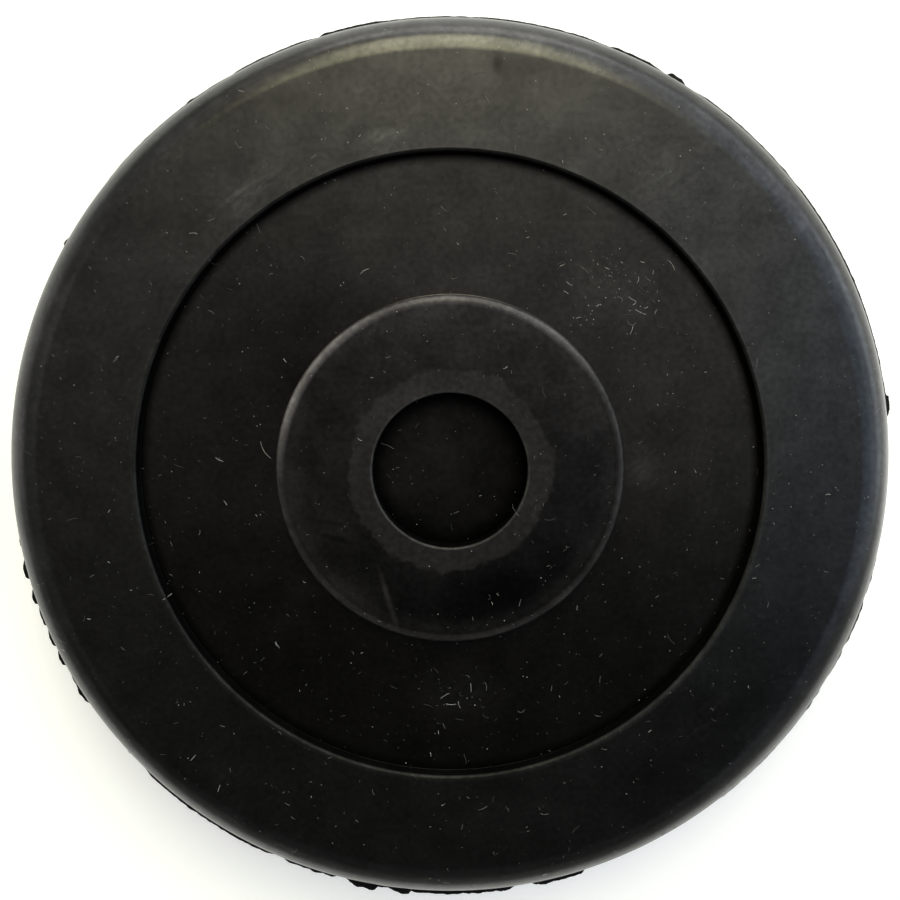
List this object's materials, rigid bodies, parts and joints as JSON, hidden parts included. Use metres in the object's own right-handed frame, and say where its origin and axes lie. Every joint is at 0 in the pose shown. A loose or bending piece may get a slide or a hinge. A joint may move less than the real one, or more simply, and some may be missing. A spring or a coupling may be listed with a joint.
{
  "type": "lift pad",
  "caption": "Round moulded rubber lift pad with a broad rim, a shallow ring recess, a raised centre boss and a blind centre socket.",
  "frame": {"origin": "centre of the flat underside, on the pad's axis", "axes": "+Z along the pad's axis, out of the recessed face; +Y towards the picture's top and +X towards its right"},
  "size_m": [0.1203, 0.1212, 0.0207],
  "materials": {
    "rubber": "fine semi-matt moulded rubber with dust and lint"
  },
  "bodies": {
    "root": {"pad": "rubber"}
  },
  "joints": []
}
